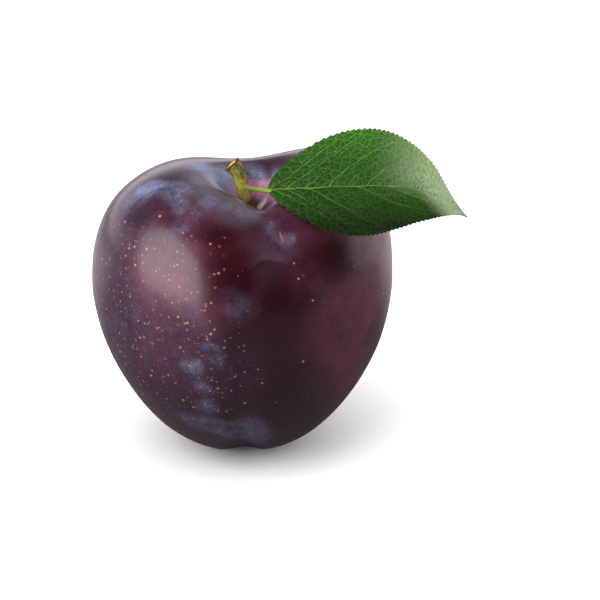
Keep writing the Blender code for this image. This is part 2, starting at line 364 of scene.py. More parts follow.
def skin_point(polar, azimuth):
    """The fruit's surface, from the angle away from the stalk and the angle round the fruit."""
    up, side = cos(polar), sin(polar)
    girth = FRUIT_RADIUS * side * (1.0 + sum(term * up**power for power, term in enumerate(GIRTH_TERMS, 1)))
    x = girth * cos(azimuth)
    y = girth * sin(azimuth) * FRONT_TO_BACK
    height = up + sum(term * up**power for power, term in enumerate(HEIGHT_TERMS, 2))
    z = FRUIT_MIDDLE + FRUIT_HALF_HEIGHT * height
    crown = smooth_step(up)
    z += crown * SIDE_LEAN * x / FRUIT_RADIUS * smooth_step(LEAN_SHIFT + y / FRUIT_RADIUS)
    z -= crown * SADDLE_DEPTH * bell(x - SADDLE_X, SADDLE_WIDTH)
    z -= crown * CAVITY_DEPTH * bell(hypot(x - CAVITY_CENTRE.x, y - CAVITY_CENTRE.y), CAVITY_WIDTH)
    share = (1.0 + up) / 2.0
    aside = x - SEAM_TOP_X * share
    width = SEAM_TIP_WIDTH + (SEAM_TOP_WIDTH - SEAM_TIP_WIDTH) * share
    if aside > 0.0:
        width *= 1.0 + SEAM_FLATTER_BANK * share
    ahead = smooth_step(-2.0 * y / FRUIT_RADIUS)
    groove = ahead * SEAM_DEPTH * bell(aside, width)
    notch = NOTCH_DEPTH * bell(x - NOTCH_CENTRE.x, NOTCH_WIDTH) * bell(y - NOTCH_CENTRE.y, NOTCH_LENGTH)
    z -= crown * notch
    outward = Vector((side * cos(azimuth), side * sin(azimuth), up))
    return Vector((x, y, z - UNDERSIDE_CUT)) - groove * outward


def patch_share(place, centre, reach):
    """1 in the middle of a patch, falling softly to 0 at about one and a half times its reach."""
    return smooth_step(1.6 - (place / MM - Vector(centre)).length / reach, 0.0, 1.3)


def skin_zones(place):
    """At a place on the skin, from 0 to 1: (bloom, cavity flush with painted shade low in the cavity, pores),
    then (haze and redness, both with painted bounce light on the right cheek, and a painted highlight beside the
    stalk foot).
    """
    rough = place * PATCH_BENDS_PER_METRE
    bend = [noise.fractal(rough + Vector((part, 0.0, 7.0)), 1.0, 2.0, 4) for part in (0, 9, 18)]
    bent = place + Vector(bend) * PATCH_BEND
    bloom = max(strength * patch_share(bent, centre, reach) for centre, reach, strength in BLOOM_PATCHES)
    film = patch_share(bent, *FILM)
    for edge, out in FILM_EDGES:
        film *= smooth_step(-(bent / MM - edge).dot(out.normalized()), 0.0, 0.7)
    rubbed = max(patch_share(bent, centre, reach) for centre, reach in RUBBED_PATCHES)
    from_cavity = hypot(place.x - CAVITY_CENTRE.x, place.y - CAVITY_CENTRE.y)
    flush = smooth_step(bent.z, *FLUSH_HEIGHTS) * smooth_step(from_cavity, *FLUSH_REACH)
    # Painted shade: the pink darkens deep in the cavity, near the foot of the stalk.
    flush *= 0.1 + 0.9 * smooth_step(place.z, *CAVITY_SHADE_HEIGHTS)
    # Painted highlight: a small pale streak on the cavity wall beside the foot of the stalk.
    foot_highlight = max(patch_share(place, centre, reach) for centre, reach in PAINTED_HIGHLIGHT_PATCHES)
    outward = (place - Vector((0.0, 0.0, FRUIT_MIDDLE))).normalized()
    turned = outward.dot(DOTTED_SIDE.normalized())
    # Painted bounce light: the cheek that faces this way is made redder and hazier, as if warm light were thrown
    # back onto it.
    painted_bounce = smooth_step(outward.dot(PAINTED_BOUNCE_CHEEK.normalized()), 0.35, 0.9)
    dots = 0.03 + 0.6 * smooth_step(turned, 0.4, 0.85)
    dots *= smooth_step(place.z, *DOT_TOP_HEIGHTS) * smooth_step(place.z, *DOT_FOOT_HEIGHTS) * (1.0 - flush)
    haze = 0.12 + 0.8 * max(smooth_step(turned, 0.4, 0.92), 0.5 * painted_bounce)
    haze = haze * (1.0 - 0.95 * rubbed) * (0.3 + 0.7 * smooth_step(place.z, *HAZE_HEIGHTS))
    crown = smooth_step(place.z, *CROWN_HEIGHTS)
    lip = max(strength * patch_share(bent, centre, reach) for centre, reach, strength in HAZE_PATCHES)
    haze = max(haze, 0.6 * film, lip, 0.6 * crown * (1.0 - 0.5 * rubbed))
    red = max(smooth_step(outward.dot(RED_CHEEK.normalized()), 0.87, 1.0), 1.2 * painted_bounce)
    red = max(red, 0.28 * smooth_step(outward.dot(LOW_RED_CHEEK.normalized()), 0.94, 1.0)) * (1.0 - 0.8 * rubbed)
    return Vector((bloom, flush, dots)), Vector((haze, red, foot_highlight))


def fruit_shape(settings):
    """A cube rounded to a sphere and drawn out into the fruit, flat where it stands."""
    shape = bmesh.new()
    bmesh.ops.create_cube(shape, size=2.0)
    bmesh.ops.subdivide_edges(shape, edges=shape.edges[:], cuts=FRUIT_CUTS, use_grid_fill=True)
    zones = shape.verts.layers.float_vector.new("zones")
    tone = shape.verts.layers.float_vector.new("tone")
    grainway = shape.verts.layers.float_vector.new("grainway")
    for vertex in shape.verts:
        round_place = Vector([tan(pi / 4.0 * part) for part in vertex.co]).normalized()
        polar = pi * (acos(max(-1.0, min(1.0, round_place.z))) / pi) ** FRUIT_CROWDING
        place = skin_point(polar, atan2(round_place.y, round_place.x))
        swell = settings.unevenness * noise.noise(place / SWELL_SIZE)
        swell += settings.unevenness * SMALL_SWELL_SHARE * noise.noise(place / SMALL_SWELL_SIZE)
        place += swell * smooth_step(place.z, 0.0, SWELL_FROM_FLOOR) * Vector((place.x, place.y, 0.0)).normalized()
        place.z = max(place.z, 0.0)
        vertex.co = place
        vertex[zones], vertex[tone] = skin_zones(place)
        around = hypot(*round_place.xy, 1e-6)
        vertex[grainway] = (round_place.x / around, round_place.y / around, polar)
    bmesh.ops.recalc_face_normals(shape, faces=shape.faces)
    return shape


def skin_material(settings):
    """Peel of a ripe plum: a thin dark skin, glossy where it is rubbed, under a pale wax bloom."""
    material, tree, shader, place = new_material("plum_peel_with_wax_bloom")
    zones = add_node(tree, ATTRIBUTE, out="Vector", attribute_name="zones")
    bloom_zone, flush_zone, dot_zone = add_node(tree, SPLIT, {0: zones}).node.outputs
    tone = add_node(tree, ATTRIBUTE, out="Vector", attribute_name="tone")
    haze, redness_and_painted_bounce, foot_highlight_zone = add_node(tree, SPLIT, {0: tone}).node.outputs

    # Dark skin, redder in soft clouds and in a fine mottle, and redder on the right cheek as painted bounce light.
    cloud = add_node(tree, NOISE, {"Vector": place, "Scale": 1 / 12.0, "Detail": 2.0})
    mottle = add_node(tree, NOISE, {"Vector": place, "Scale": 1 / 2.4, "Detail": 3.0, "Distortion": 1.2})
    red = add_node(tree, MATH, {0: mottle, 1: 0.6, 2: cloud}, operation="MULTIPLY_ADD")
    red = add_node(tree, REMAP, {0: red, LOW: 0.5, HIGH: 1.05, TO_LOW: 0.1})
    redness_and_painted_bounce = add_node(tree, REMAP, {0: redness_and_painted_bounce, TO_LOW: 0.06, TO_HIGH: 1.0}, clamp=False)
    red = add_node(tree, MATH, {0: red, 1: redness_and_painted_bounce}, operation="MULTIPLY", use_clamp=True)

    # A thin veil of wax nearly everywhere, scratched into fine hairs and drawn out from stalk to tip.
    way = add_node(tree, ATTRIBUTE, out="Vector", attribute_name="grainway")
    way = add_node(tree, "ShaderNodeMapping", {"Vector": way, "Scale": (26.0, 26.0, 5.0)})
    streak = add_node(tree, NOISE, {"Vector": way, "Scale": 1.0, "Detail": 4.0, "Roughness": 0.6})
    torn = add_node(
        tree,
        NOISE,
        {"Vector": place, "Scale": 1 / 3.0, "Detail": 4.0, "Roughness": 0.6, "Distortion": 0.5},
    )
    hair = add_node(tree, NOISE, {"Vector": place, "Scale": 1 / 0.8, "Detail": 3.0, "Distortion": 2.4})
    hair = add_node(tree, REMAP, {0: hair, LOW: 0.35, HIGH: 0.65, TO_LOW: 0.55, TO_HIGH: 1.45})
    streak = add_node(tree, REMAP, {0: streak, LOW: 0.35, HIGH: 0.65, TO_LOW: 0.8, TO_HIGH: 1.2})
    texture = add_node(tree, MATH, {0: hair, 1: streak}, operation="MULTIPLY")
    veil = add_node(tree, REMAP, {0: torn, LOW: 0.3, HIGH: 0.7, TO_LOW: 0.13, TO_HIGH: 0.28})
    veil = add_node(tree, MATH, {0: veil, 1: haze}, operation="MULTIPLY")
    veil = add_node(tree, MATH, {0: veil, 1: texture}, operation="MULTIPLY", use_clamp=True)
    veil_strength = add_node(tree, MATH, {0: veil, 1: settings.bloom}, operation="MULTIPLY", use_clamp=True)

    # Pale skin inside the stalk cavity, where the sun never reached.
    flush = add_node(tree, MATH, {0: flush_zone, 1: texture}, operation="MULTIPLY", use_clamp=True)

    # Thick bloom, with soft torn edges.
    tear = add_node(tree, REMAP, {0: torn, LOW: 0.3, HIGH: 0.7, TO_LOW: -0.45, TO_HIGH: 0.45})
    held = add_node(tree, REMAP, {0: bloom_zone, HIGH: 0.55})
    wax = add_node(tree, MATH, {0: held, 1: tear, 2: bloom_zone}, operation="MULTIPLY_ADD")
    wax = add_node(tree, REMAP, {0: wax, LOW: 0.0, HIGH: 1.1})
    wax = add_node(tree, MATH, {0: wax, 1: texture}, operation="MULTIPLY")
    wax = add_node(tree, MATH, {0: wax, 1: settings.bloom}, operation="MULTIPLY", use_clamp=True)

    # Pores: pale dots with a red halo, as slices of small balls set at random through the skin.
    near = add_node(
        tree, "ShaderNodeTexVoronoi", {"Vector": place, "Scale": MM / settings.dot_spacing, "Randomness": 1.0}
    ).node.outputs
    chance = add_node(tree, SPLIT, {0: near["Color"]}).node.outputs
    shown = add_node(tree, MATH, {0: chance[0], 1: dot_zone}, operation="LESS_THAN")
    size = add_node(tree, MATH, {0: chance[1], 1: 2.0}, operation="POWER")
    size = add_node(tree, REMAP, {0: size, TO_LOW: 0.15, TO_HIGH: 0.4})
    spread = add_node(tree, MATH, {0: near["Distance"], 1: size}, operation="DIVIDE")
    paleness = add_node(tree, REMAP, {0: chance[2], TO_LOW: 0.2, TO_HIGH: 0.95})
    core = add_node(tree, REMAP, {0: spread, LOW: 0.5, HIGH: 1.0, TO_LOW: paleness, TO_HIGH: 0.0})
    core = add_node(tree, MATH, {0: core, 1: shown}, operation="MULTIPLY")
    halo = add_node(tree, REMAP, {0: spread, LOW: 0.8, HIGH: 1.7, TO_LOW: 0.2, TO_HIGH: 0.0})
    halo = add_node(tree, MATH, {0: halo, 1: shown}, operation="MULTIPLY")

    # One healed scratch, as a slim ellipsoid round its place.
    scratch = add_node(
        tree,
        "ShaderNodeMapping",
        {"Vector": place, "Location": SCAR_PLACE, "Rotation": SCAR_TURN, "Scale": SCAR_SIZE},
        vector_type="TEXTURE",
    )
    scratch = add_node(tree, VECTOR_MATH, {0: scratch}, out="Value", operation="LENGTH")
    scratch = add_node(tree, REMAP, {0: scratch, LOW: 0.6, HIGH: 1.1, TO_LOW: 0.9, TO_HIGH: 0.0})

    # The layers, from the skin outwards: how much of each shows, and its colour.
    layers = (
        (red, settings.flush),
        (veil_strength, settings.veil),
        (flush, settings.cavity_flush),
        # the painted highlight beside the foot of the stalk
        (foot_highlight_zone, settings.cavity_highlight),
        (wax, settings.bloom_colour),
        (halo, settings.dot_halo),
        (core, settings.dot_colour),
        (scratch, settings.scar),
    )
    colour = (*settings.skin, 1.0)
    for share, over in layers:
        colour = add_node(tree, MIX, {0: share, A: colour, B: (*over, 1.0)}, out=2, data_type="RGBA")

    rough = add_node(tree, MATH, {0: wax, 1: 0.35, 2: 0.27}, operation="MULTIPLY_ADD")
    rough = add_node(tree, MATH, {0: veil, 1: 0.25, 2: rough}, operation="MULTIPLY_ADD", use_clamp=True)
    ripple = add_node(tree, NOISE, {"Vector": place, "Scale": 1 / 1.1, "Detail": 3.0})
    bump = add_node(tree, "ShaderNodeBump", {"Height": ripple, "Strength": 0.35, "Distance": 0.04 * MM})
    finish = {
        "Base Color": colour,
        "Roughness": rough,
        "IOR": 1.5,
        "Coat Weight": 0.4,
        "Coat Roughness": 0.2,
        "Sheen Weight": 0.08,
        "Sheen Roughness": 0.2,
        "Sheen Tint": (*settings.sheen, 1.0),
        "Normal": bump,
    }
    set_inputs(tree, shader, finish)
    return material


class PLUM_OT_fruit(Operator):
    """Build the fruit with its skin"""

    bl_idname = "plum.build_fruit"
    bl_label = "Build fruit"

    def execute(self, context):
        settings = context.scene.plum_fruit
        shape = fruit_shape(settings)
        for low, high, places in zip(FRUIT_LOW, FRUIT_HIGH, zip(*(vertex.co for vertex in shape.verts))):
            if min(places) < low - BOX_ROOM or max(places) > high + BOX_ROOM:
                raise RuntimeError("The fruit doesn't fit the place that the frame gives it")
        finish_piece("fruit_body", shape, [skin_material(settings)], "plum_fruit")
        return {"FINISHED"}


# ------------------------------------------------------------------ stalk


def smooth_between(start, pull_out, end, pull_in, part):
    """A cubic from start to end, with the slopes that it leaves and arrives with."""
    square, cube = part * part, part**3
    return (
        start * (2 * cube - 3 * square + 1)
        + pull_out * (cube - 2 * square + part)
        + end * (3 * square - 2 * cube)
        + pull_in * (cube - square)
    )


def along_path(path, share):
    """(place, direction, radius) a share of the way along a smooth line through (place, radius) points."""
    last = len(path) - 1
    step = min(int(share * last), last - 1)
    part = share * last - step
    near = [path[min(max(step + offset, 0), last)] for offset in (-1, 0, 1, 2)]
    (before, r0), (start, r1), (end, r2), (after, r3) = near
    pull_out, pull_in = (end - before) / 2.0, (after - start) / 2.0
    place = smooth_between(start, pull_out, end, pull_in, part)
    square = part * part
    direction = (
        start * (6 * square - 6 * part)
        + pull_out * (3 * square - 4 * part + 1)
        + end * (6 * part - 6 * square)
        + pull_in * (3 * square - 2 * part)
    )
    return place, direction.normalized(), smooth_between(r1, (r2 - r0) / 2.0, r2, (r3 - r1) / 2.0, part)


def round_bar(sides, steps, end_rings):
    """An upright bar of radius 1 and height 1 with closed ends, ready to be bent. Its top is ringed for shaping."""
    shape = bmesh.new()
    bmesh.ops.create_cone(shape, cap_ends=True, segments=sides, radius1=1.0, radius2=1.0, depth=1.0)
    bmesh.ops.translate(shape, verts=shape.verts, vec=(0.0, 0.0, 0.5))
    upright = [edge for edge in shape.edges if abs(edge.verts[0].co.z - edge.verts[1].co.z) > 0.5]
    bmesh.ops.subdivide_edges(shape, edges=upright, cuts=steps - 1, use_grid_fill=True)
    for top in (True, False):
        caps = [face for face in shape.faces if len(face.verts) == sides]
        cap = [face for face in caps if (face.calc_center_median().z > 0.5) == top]
        for _ in range(end_rings):
            bmesh.ops.inset_region(shape, faces=cap, thickness=1.0 / (end_rings + 1), use_even_offset=True)
        bmesh.ops.poke(shape, faces=cap)
    return shape


def bend_bar(shape, path, surface):
    """Lays an upright bar along a path. Surface gives (radius, lift along the path) from (share, angle, reach)."""
    for vertex in shape.verts:
        share = min(max(vertex.co.z, 0.0), 1.0)
        reach = hypot(vertex.co.x, vertex.co.y)
        angle = atan2(vertex.co.y, vertex.co.x)
        place, direction, radius = along_path(path, share)
        side = direction.cross(Vector((0.0, 1.0, 0.0))).normalized()
        front = direction.cross(side)
        spoke = side * cos(angle) + front * sin(angle)
        scale, lift = surface(share, angle, reach, place + spoke * radius * reach)
        vertex.co = place + spoke * radius * reach * scale + direction * lift
    if shape.calc_volume(signed=True) < 0.0:
        bmesh.ops.reverse_faces(shape, faces=shape.faces)


def stalk_shape(settings):
    """A short bar, wider at its foot, with swellings on the way and a flared, torn end of pith inside bark."""
    shape = round_bar(STALK_SIDES, STALK_STEPS, STALK_END_RINGS)
    knob = settings.knobbliness

    def surface(share, angle, reach, place):
        ridges = noise.noise(Vector((2.2 * cos(angle), 2.2 * sin(angle), share * 4.0)))
        knobs = noise.noise(place / KNOB_SIZE)
        warts = max(noise.noise(place / WART_SIZE) - WART_LEVEL, 0.0)
        radius = 1.0 + (0.6 * ridges + 0.7 * knobs + 0.5 * warts) * knob / STALK_MEAN_RADIUS
        lift = 0.0
        if share > 0.999:
            hollow = 1.0 - smooth_step(reach, 0.55, 0.95)
            torn = noise.noise(place / (0.5 * MM)) * CUT_TEAR
            lift = torn - CUT_HOLLOW * hollow - CUT_EDGE_DROP * smooth_step(reach, 0.93, 1.0)
        return radius, lift

    bend_bar(shape, STALK, surface)
    end, direction, radius = along_path(STALK, 1.0)
    for face in shape.faces:
        middle = face.calc_center_median() - end
        depth = -middle.dot(direction)
        out = (middle + direction * depth).length / radius
        ragged = BARK_EDGE + BARK_EDGE_TEAR * noise.noise(face.calc_center_median() / (0.7 * MM))
        if depth < ragged:
            pith = PITH_SHARE + PITH_UNEVENNESS * noise.noise(middle / (0.5 * MM))
            face.material_index = 1 if out < pith else 2
    return shape


def bark_material(settings):
    """Young green bark: matt and slightly waxy, with brown corky specks, painted lighter low down in the cavity and
    dark where it meets the fruit.
    """
    material, tree, shader, place = new_material("young_plum_bark")
    height = add_node(tree, SPLIT, {0: place}, out="Z")
    stretched = add_node(tree, "ShaderNodeMapping", {"Vector": place, "Scale": (1.0, 1.0, 0.45)})
    cloud = add_node(tree, NOISE, {"Vector": stretched, "Scale": 1 / 0.9, "Detail": 4.0})
    fine = add_node(tree, NOISE, {"Vector": stretched, "Scale": 1 / 0.28, "Detail": 3.0})
    light = add_node(tree, REMAP, {0: cloud, LOW: 0.38, HIGH: 0.62})
    speck = add_node(tree, REMAP, {0: fine, LOW: 0.53, HIGH: 0.62, TO_HIGH: 0.8})
    foot = add_node(tree, REMAP, {0: height, LOW: 53.2, HIGH: 51.0, TO_HIGH: 0.85}, interpolation_type="SMOOTHSTEP")
    colour = (*settings.bark_dark, 1.0)
    for share, over in ((light, settings.bark), (speck, settings.cork), (foot, settings.foot)):
        colour = add_node(tree, MIX, {0: share, A: colour, B: (*over, 1.0)}, out=2, data_type="RGBA")
    # Painted light: the bark is made up to 1.6 times lighter lower down, standing in for light that the lip of the
    # cavity keeps off it.
    pale = add_node(tree, REMAP, {0: height, LOW: 57.0, HIGH: 54.5, TO_LOW: 0.95, TO_HIGH: 1.6})
    colour = add_node(tree, VECTOR_MATH, {0: colour, "Scale": pale}, operation="SCALE")
    relief = add_node(tree, MATH, {0: fine, 1: 0.5, 2: cloud}, operation="MULTIPLY_ADD")
    bump = add_node(tree, "ShaderNodeBump", {"Height": relief, "Strength": 0.6, "Distance": 0.12 * MM})
    set_inputs(tree, shader, {"Base Color": colour, "Roughness": 0.62, "Normal": bump})
    return material


def cut_material(name, main, stain, least):
    """Dried cut end: torn fibres that have browned in patches and give a rough, matt surface."""
    material, tree, shader, place = new_material(name)
    fibre = add_node(tree, NOISE, {"Vector": place, "Scale": 1 / 0.35, "Detail": 4.0})
    patch = add_node(tree, REMAP, {0: fibre, LOW: least, HIGH: least + 0.12})
    colour = add_node(tree, MIX, {0: patch, A: (*main, 1.0), B: (*stain, 1.0)}, out=2, data_type="RGBA")
    bump = add_node(tree, "ShaderNodeBump", {"Height": fibre, "Strength": 0.8, "Distance": 0.15 * MM})
    set_inputs(tree, shader, {"Base Color": colour, "Roughness": 0.8, "Normal": bump})
    return material


class PLUM_OT_stalk(Operator):
    """Build the stalk with its torn end"""

    bl_idname = "plum.build_stalk"
    bl_label = "Build stalk"

    def execute(self, context):
        settings = context.scene.plum_stalk
        face, rim = tuple(settings.cut_face), tuple(settings.cut_rim)
        pith, torn = cut_material("dried_pith", face, rim, 0.52), cut_material("torn_bark_rim", rim, face, 0.6)
        materials = [bark_material(settings), pith, torn]
        finish_piece("stalk_bar", stalk_shape(settings), materials, "stalk")
        return {"FINISHED"}


# ------------------------------------------------------------------ leaf


def midrib_point(along):
    """(point, direction) on the midrib, from 0 at the leaf stalk to 1 at the tip of the leaf."""
    start, first, second, end = MIDRIB
    left = 1.0 - along
    point = start * left**3 + first * 3 * left**2 * along + second * 3 * left * along**2 + end * along**3
    direction = (first - start) * left**2 + (second - first) * 2 * left * along + (end - second) * along**2
    return point, direction.normalized()


def blade_half_width(along, back):
    _, widest, _, rise, fall = BACK_HALF if back else FRONT_HALF
    peak = rise / (rise + fall)
    width = widest * (max(along, 0.0) / peak) ** rise * (max(1.0 - along, 0.0) / (1.0 - peak)) ** fall
    return width + BLADE_BASE_HALF_WIDTH + (BLADE_TIP_HALF_WIDTH - BLADE_BASE_HALF_WIDTH) * along


def blade_point(along, reach, back):
    """A place on the blade's middle surface, a distance out from the midrib, and the way that half faces."""
    side, _, slope, _, _ = BACK_HALF if back else FRONT_HALF
    point, direction = midrib_point(along)
    slope += BLADE_TWIST * along
    outward = Vector((0.0, cos(slope), sin(slope)))
    outward -= direction * outward.dot(direction)
    outward.normalize()
    normal = direction.cross(outward) if direction.cross(outward).z > 0.0 else outward.cross(direction)
    return point + outward * (side * reach), normal


def vein_course(start, across, back):
    """Where a side vein is along the blade, a share of the way out to the edge, and how fast it runs ahead."""
    if back:
        lead, bend = min(0.05 + 0.6 * start, 0.2), 0.2
    else:
        lead, bend = min(max(2.0 * start - 0.06, 0.0), 0.8), 0.35 - 0.4 * start
    return start + lead * across + bend * across**2, lead + 2.0 * bend * across


def side_veins(along, across, width, back):
    """How far the nearest side vein is, in mm, and how swollen and how sunk the blade is there."""
    across = abs(across)
    main, weak = (BACK_VEINS, BACK_WEAK_VEINS) if back else (FRONT_VEINS, FRONT_WEAK_VEINS)
    gaps = []
    for veins in (main, weak):
        away = []
        for start in veins:
            course, slope = vein_course(start, across, back)
            away.append(abs(along - course) / MM / hypot(slope / max(width, MM), 1.0 / BLADE_LENGTH))
        gaps.append(min(away))
    gap, weak_gap = gaps[0], gaps[1] + WEAK_VEIN_LESS
    courses = [vein_course(start, across, back)[0] for start in main]
    swell = 0.0
    for first, second in zip((-0.08, *courses), (*courses, 1.6)):
        if first <= along < second:
            swell = sin(pi * (along - first) / (second - first)) ** 2 * min((second - first) / 0.12, 1.0)
    return min(gap, weak_gap), swell, bell(gap, 0.3)


def blade_shape(settings):
    """A grid bent to the blade, with toothed edges, sunk veins and swollen fields between them."""
    shape = bmesh.new()
    bmesh.ops.create_grid(shape, x_segments=BLADE_STEPS, y_segments=BLADE_COLUMNS, size=1.0)
    ribs = shape.verts.layers.float_vector.new("ribs")
    sheet = shape.verts.layers.float_vector.new("sheet")
    for vertex in shape.verts:
        along = (vertex.co.x + 1.0) / 2.0
        across = vertex.co.y
        back = across > 0.0
        width = blade_half_width(along, back)
        shift = TEETH_UNEVENNESS * noise.noise(Vector((along * 9.0, 4.0 * back, 0.0)))
        tooth = (along * settings.teeth + shift) % 1.0
        tooth = (tooth / TOOTH_RISE) ** 0.7 if tooth < TOOTH_RISE else (1.0 - tooth) / (1.0 - TOOTH_RISE)
        height = min(settings.tooth_height, 0.1 * width) * (tooth - 0.5)
        reach = abs(across) * width + height * smooth_step(abs(across), 0.86, 1.0)
        wobble = 0.014 * noise.noise(Vector((along * 7.0, across * 3.0, 3.0)))
        wobble += 0.006 * noise.noise(Vector((along * 28.0, across * 10.0, 5.0)))
        gap, swell, sink = side_veins(along + wobble, across, width, back)
        fade = 1.0 - smooth_step(abs(across), 0.75, 1.0)
        calm = smooth_step(width, 0.5 * MM, 6.0 * MM)
        lift = settings.relief * (1.2 * swell - 0.4 * sink) * fade * calm
        lift -= 1.2 * settings.relief * bell(reach, 0.55 * MM) * (1.0 - 0.6 * along)
        lift += settings.relief * 0.5 * calm * noise.noise(Vector((along * 26.0, across * 9.0, 1.0)))
        edge = smooth_step(abs(across), 0.5, 1.0)
        lift += edge * calm * EDGE_WAVE * noise.noise(Vector((along * 6.5, 2.0 * back, 8.0)))
        place, normal = blade_point(along, reach, back)
        vertex.co = place + normal * lift
        vertex[ribs] = (gap, abs(across), along)
        vertex[sheet] = (along * BLADE_LENGTH / MM, (reach if back else -reach) / MM, 0.0)
    bmesh.ops.recalc_face_normals(shape, faces=shape.faces)
    if sum(face.normal.z * face.calc_area() for face in shape.faces) < 0.0:
        bmesh.ops.reverse_faces(shape, faces=shape.faces)
    return shape


def blade_material(name, settings, lamina, vein, vein_strength, sheen_strength, roughness):
    """Leaf of a plum: a waxy blade with a midrib, side veins and a net of fine veins between them."""
    material, tree, shader, place = new_material(name)
    ribs = add_node(tree, ATTRIBUTE, out="Vector", attribute_name="ribs")
    gap, across, along = add_node(tree, SPLIT, {0: ribs}).node.outputs
    sheet = add_node(tree, ATTRIBUTE, out="Vector", attribute_name="sheet")
    reach = add_node(tree, SPLIT, {0: sheet}, out="Y")

    # Side veins, thinner towards the edge.
    half = add_node(tree, REMAP, {0: across, TO_LOW: 0.17, TO_HIGH: 0.09})
    side = add_node(tree, MATH, {0: gap, 1: half}, operation="DIVIDE")
    side = add_node(tree, REMAP, {0: side, LOW: 0.3, TO_LOW: 1.0, TO_HIGH: 0.0})
    fade = add_node(tree, REMAP, {0: across, LOW: 0.7, HIGH: 0.97, TO_LOW: 1.0, TO_HIGH: 0.25})
    side = add_node(tree, MATH, {0: side, 1: fade}, operation="MULTIPLY")

    # Midrib, from the leaf stalk to the tip.
    off = add_node(tree, MATH, {0: reach}, operation="ABSOLUTE")
    half = add_node(tree, REMAP, {0: along, TO_LOW: 0.2, TO_HIGH: 0.08})
    off = add_node(tree, MATH, {0: off, 1: half}, operation="DIVIDE")
    midrib = add_node(tree, REMAP, {0: off, LOW: 0.6, HIGH: 1.1, TO_LOW: 1.0, TO_HIGH: 0.0})

    # Net of fine veins, bent so that its meshes are not straight.
    bend = add_node(tree, NOISE, {"Vector": sheet, "Scale": 1 / 1.3, "Detail": 2.0}, out="Color")
    bend = add_node(tree, VECTOR_MATH, {0: bend, 1: (0.5, 0.5, 0.5)}, operation="SUBTRACT")
    bend = add_node(tree, VECTOR_MATH, {0: bend, 1: (1.1, 1.1, 0.0)}, operation="MULTIPLY")
    bent = add_node(tree, VECTOR_MATH, {0: sheet, 1: bend}, operation="ADD")
    nets, pillows = [], []
    for mesh_size, line in ((1.15, 0.075), (0.5, 0.1)):
        apart = add_node(
            tree,
            "ShaderNodeTexVoronoi",
            {"Vector": bent, "Scale": 1 / mesh_size},
            feature="DISTANCE_TO_EDGE",
            voronoi_dimensions="2D",
        )
        net = {0: apart, HIGH: line, TO_LOW: 1.0, TO_HIGH: 0.0}
        nets.append(add_node(tree, REMAP, net, interpolation_type="SMOOTHSTEP"))
        pillow = {0: apart, HIGH: 0.4}
        pillows.append(add_node(tree, REMAP, pillow, interpolation_type="SMOOTHSTEP"))
    coarse = add_node(tree, MATH, {0: nets[0], 1: 0.48}, operation="MULTIPLY")
    fine = add_node(tree, MATH, {0: nets[1], 1: 0.22}, operation="MULTIPLY")
    net = add_node(tree, MATH, {0: coarse, 1: fine}, operation="MAXIMUM")
    main = add_node(tree, MATH, {0: side, 1: midrib}, operation="MAXIMUM")
    veins = add_node(tree, MATH, {0: main, 1: net}, operation="MAXIMUM")
    shown = add_node(tree, MATH, {0: veins, 1: vein_strength}, operation="MULTIPLY", use_clamp=True)

    cloud = add_node(tree, NOISE, {"Vector": place, "Scale": 1 / 5.0, "Detail": 4.0})
    tone = add_node(tree, REMAP, {0: cloud, LOW: 0.35, HIGH: 0.65})
    dark = tuple(0.75 * part for part in lamina)
    colour = add_node(tree, MIX, {0: tone, A: (*dark, 1.0), B: (*lamina, 1.0)}, out=2, data_type="RGBA")
    colour = add_node(tree, MIX, {0: shown, A: colour, B: (*vein, 1.0)}, out=2, data_type="RGBA")

    # Painted shade and light: deeper green in the front half and lighter at the back edge, with a painted sheen of
    # pale silvery green towards the tip.
    painted_shade = add_node(tree, REMAP, {0: reach, LOW: -10.0, HIGH: -2.0, TO_LOW: 0.2, TO_HIGH: 0.72})
    rim = add_node(tree, REMAP, {0: reach, LOW: 4.5, HIGH: 10.0, TO_LOW: 1.0, TO_HIGH: 1.9})
    painted_shade = add_node(tree, MATH, {0: painted_shade, 1: rim}, operation="MULTIPLY")
    deep = add_node(tree, VECTOR_MATH, {0: colour, "Scale": painted_shade}, operation="SCALE")
    # Painted sheen: how much of the pale silvery green shows, towards the tip and the back half.
    pale = add_node(tree, REMAP, {0: along, LOW: 0.3, HIGH: 0.92}, interpolation_type="SMOOTHSTEP")
    tip = add_node(tree, REMAP, {0: along, LOW: 0.62, TO_HIGH: 7.0})
    high = add_node(tree, MATH, {0: reach, 1: tip}, operation="ADD")
    high = add_node(tree, REMAP, {0: high, LOW: -3.0, HIGH: 3.5}, interpolation_type="SMOOTHSTEP")
    pale = add_node(tree, MATH, {0: pale, 1: high}, operation="MULTIPLY")
    pale = add_node(tree, MATH, {0: pale, 1: sheen_strength}, operation="MULTIPLY")
    colour = add_node(tree, MIX, {0: pale, A: deep, B: (*settings.leaf_sheen, 1.0)}, out=2, data_type="RGBA")
    rough = add_node(tree, REMAP, {0: cloud, TO_LOW: roughness - 0.08, TO_HIGH: roughness + 0.08})
    relief = add_node(tree, MATH, {0: main, 1: -0.8, 2: pillows[0]}, operation="MULTIPLY_ADD")
    relief = add_node(tree, MATH, {0: pillows[1], 1: 0.3, 2: relief}, operation="MULTIPLY_ADD")
    bump = add_node(tree, "ShaderNodeBump", {"Height": relief, "Strength": 0.9, "Distance": 0.13 * MM})
    finish = {
        "Base Color": colour,
        "Roughness": rough,
        "Specular IOR Level": 0.12,
        "Subsurface Weight": 0.12,
        "Subsurface Radius": (0.4, 1.0, 0.15),
        "Subsurface Scale": 0.5 * MM,
        "Normal": bump,
    }
    set_inputs(tree, shader, finish)
    return material


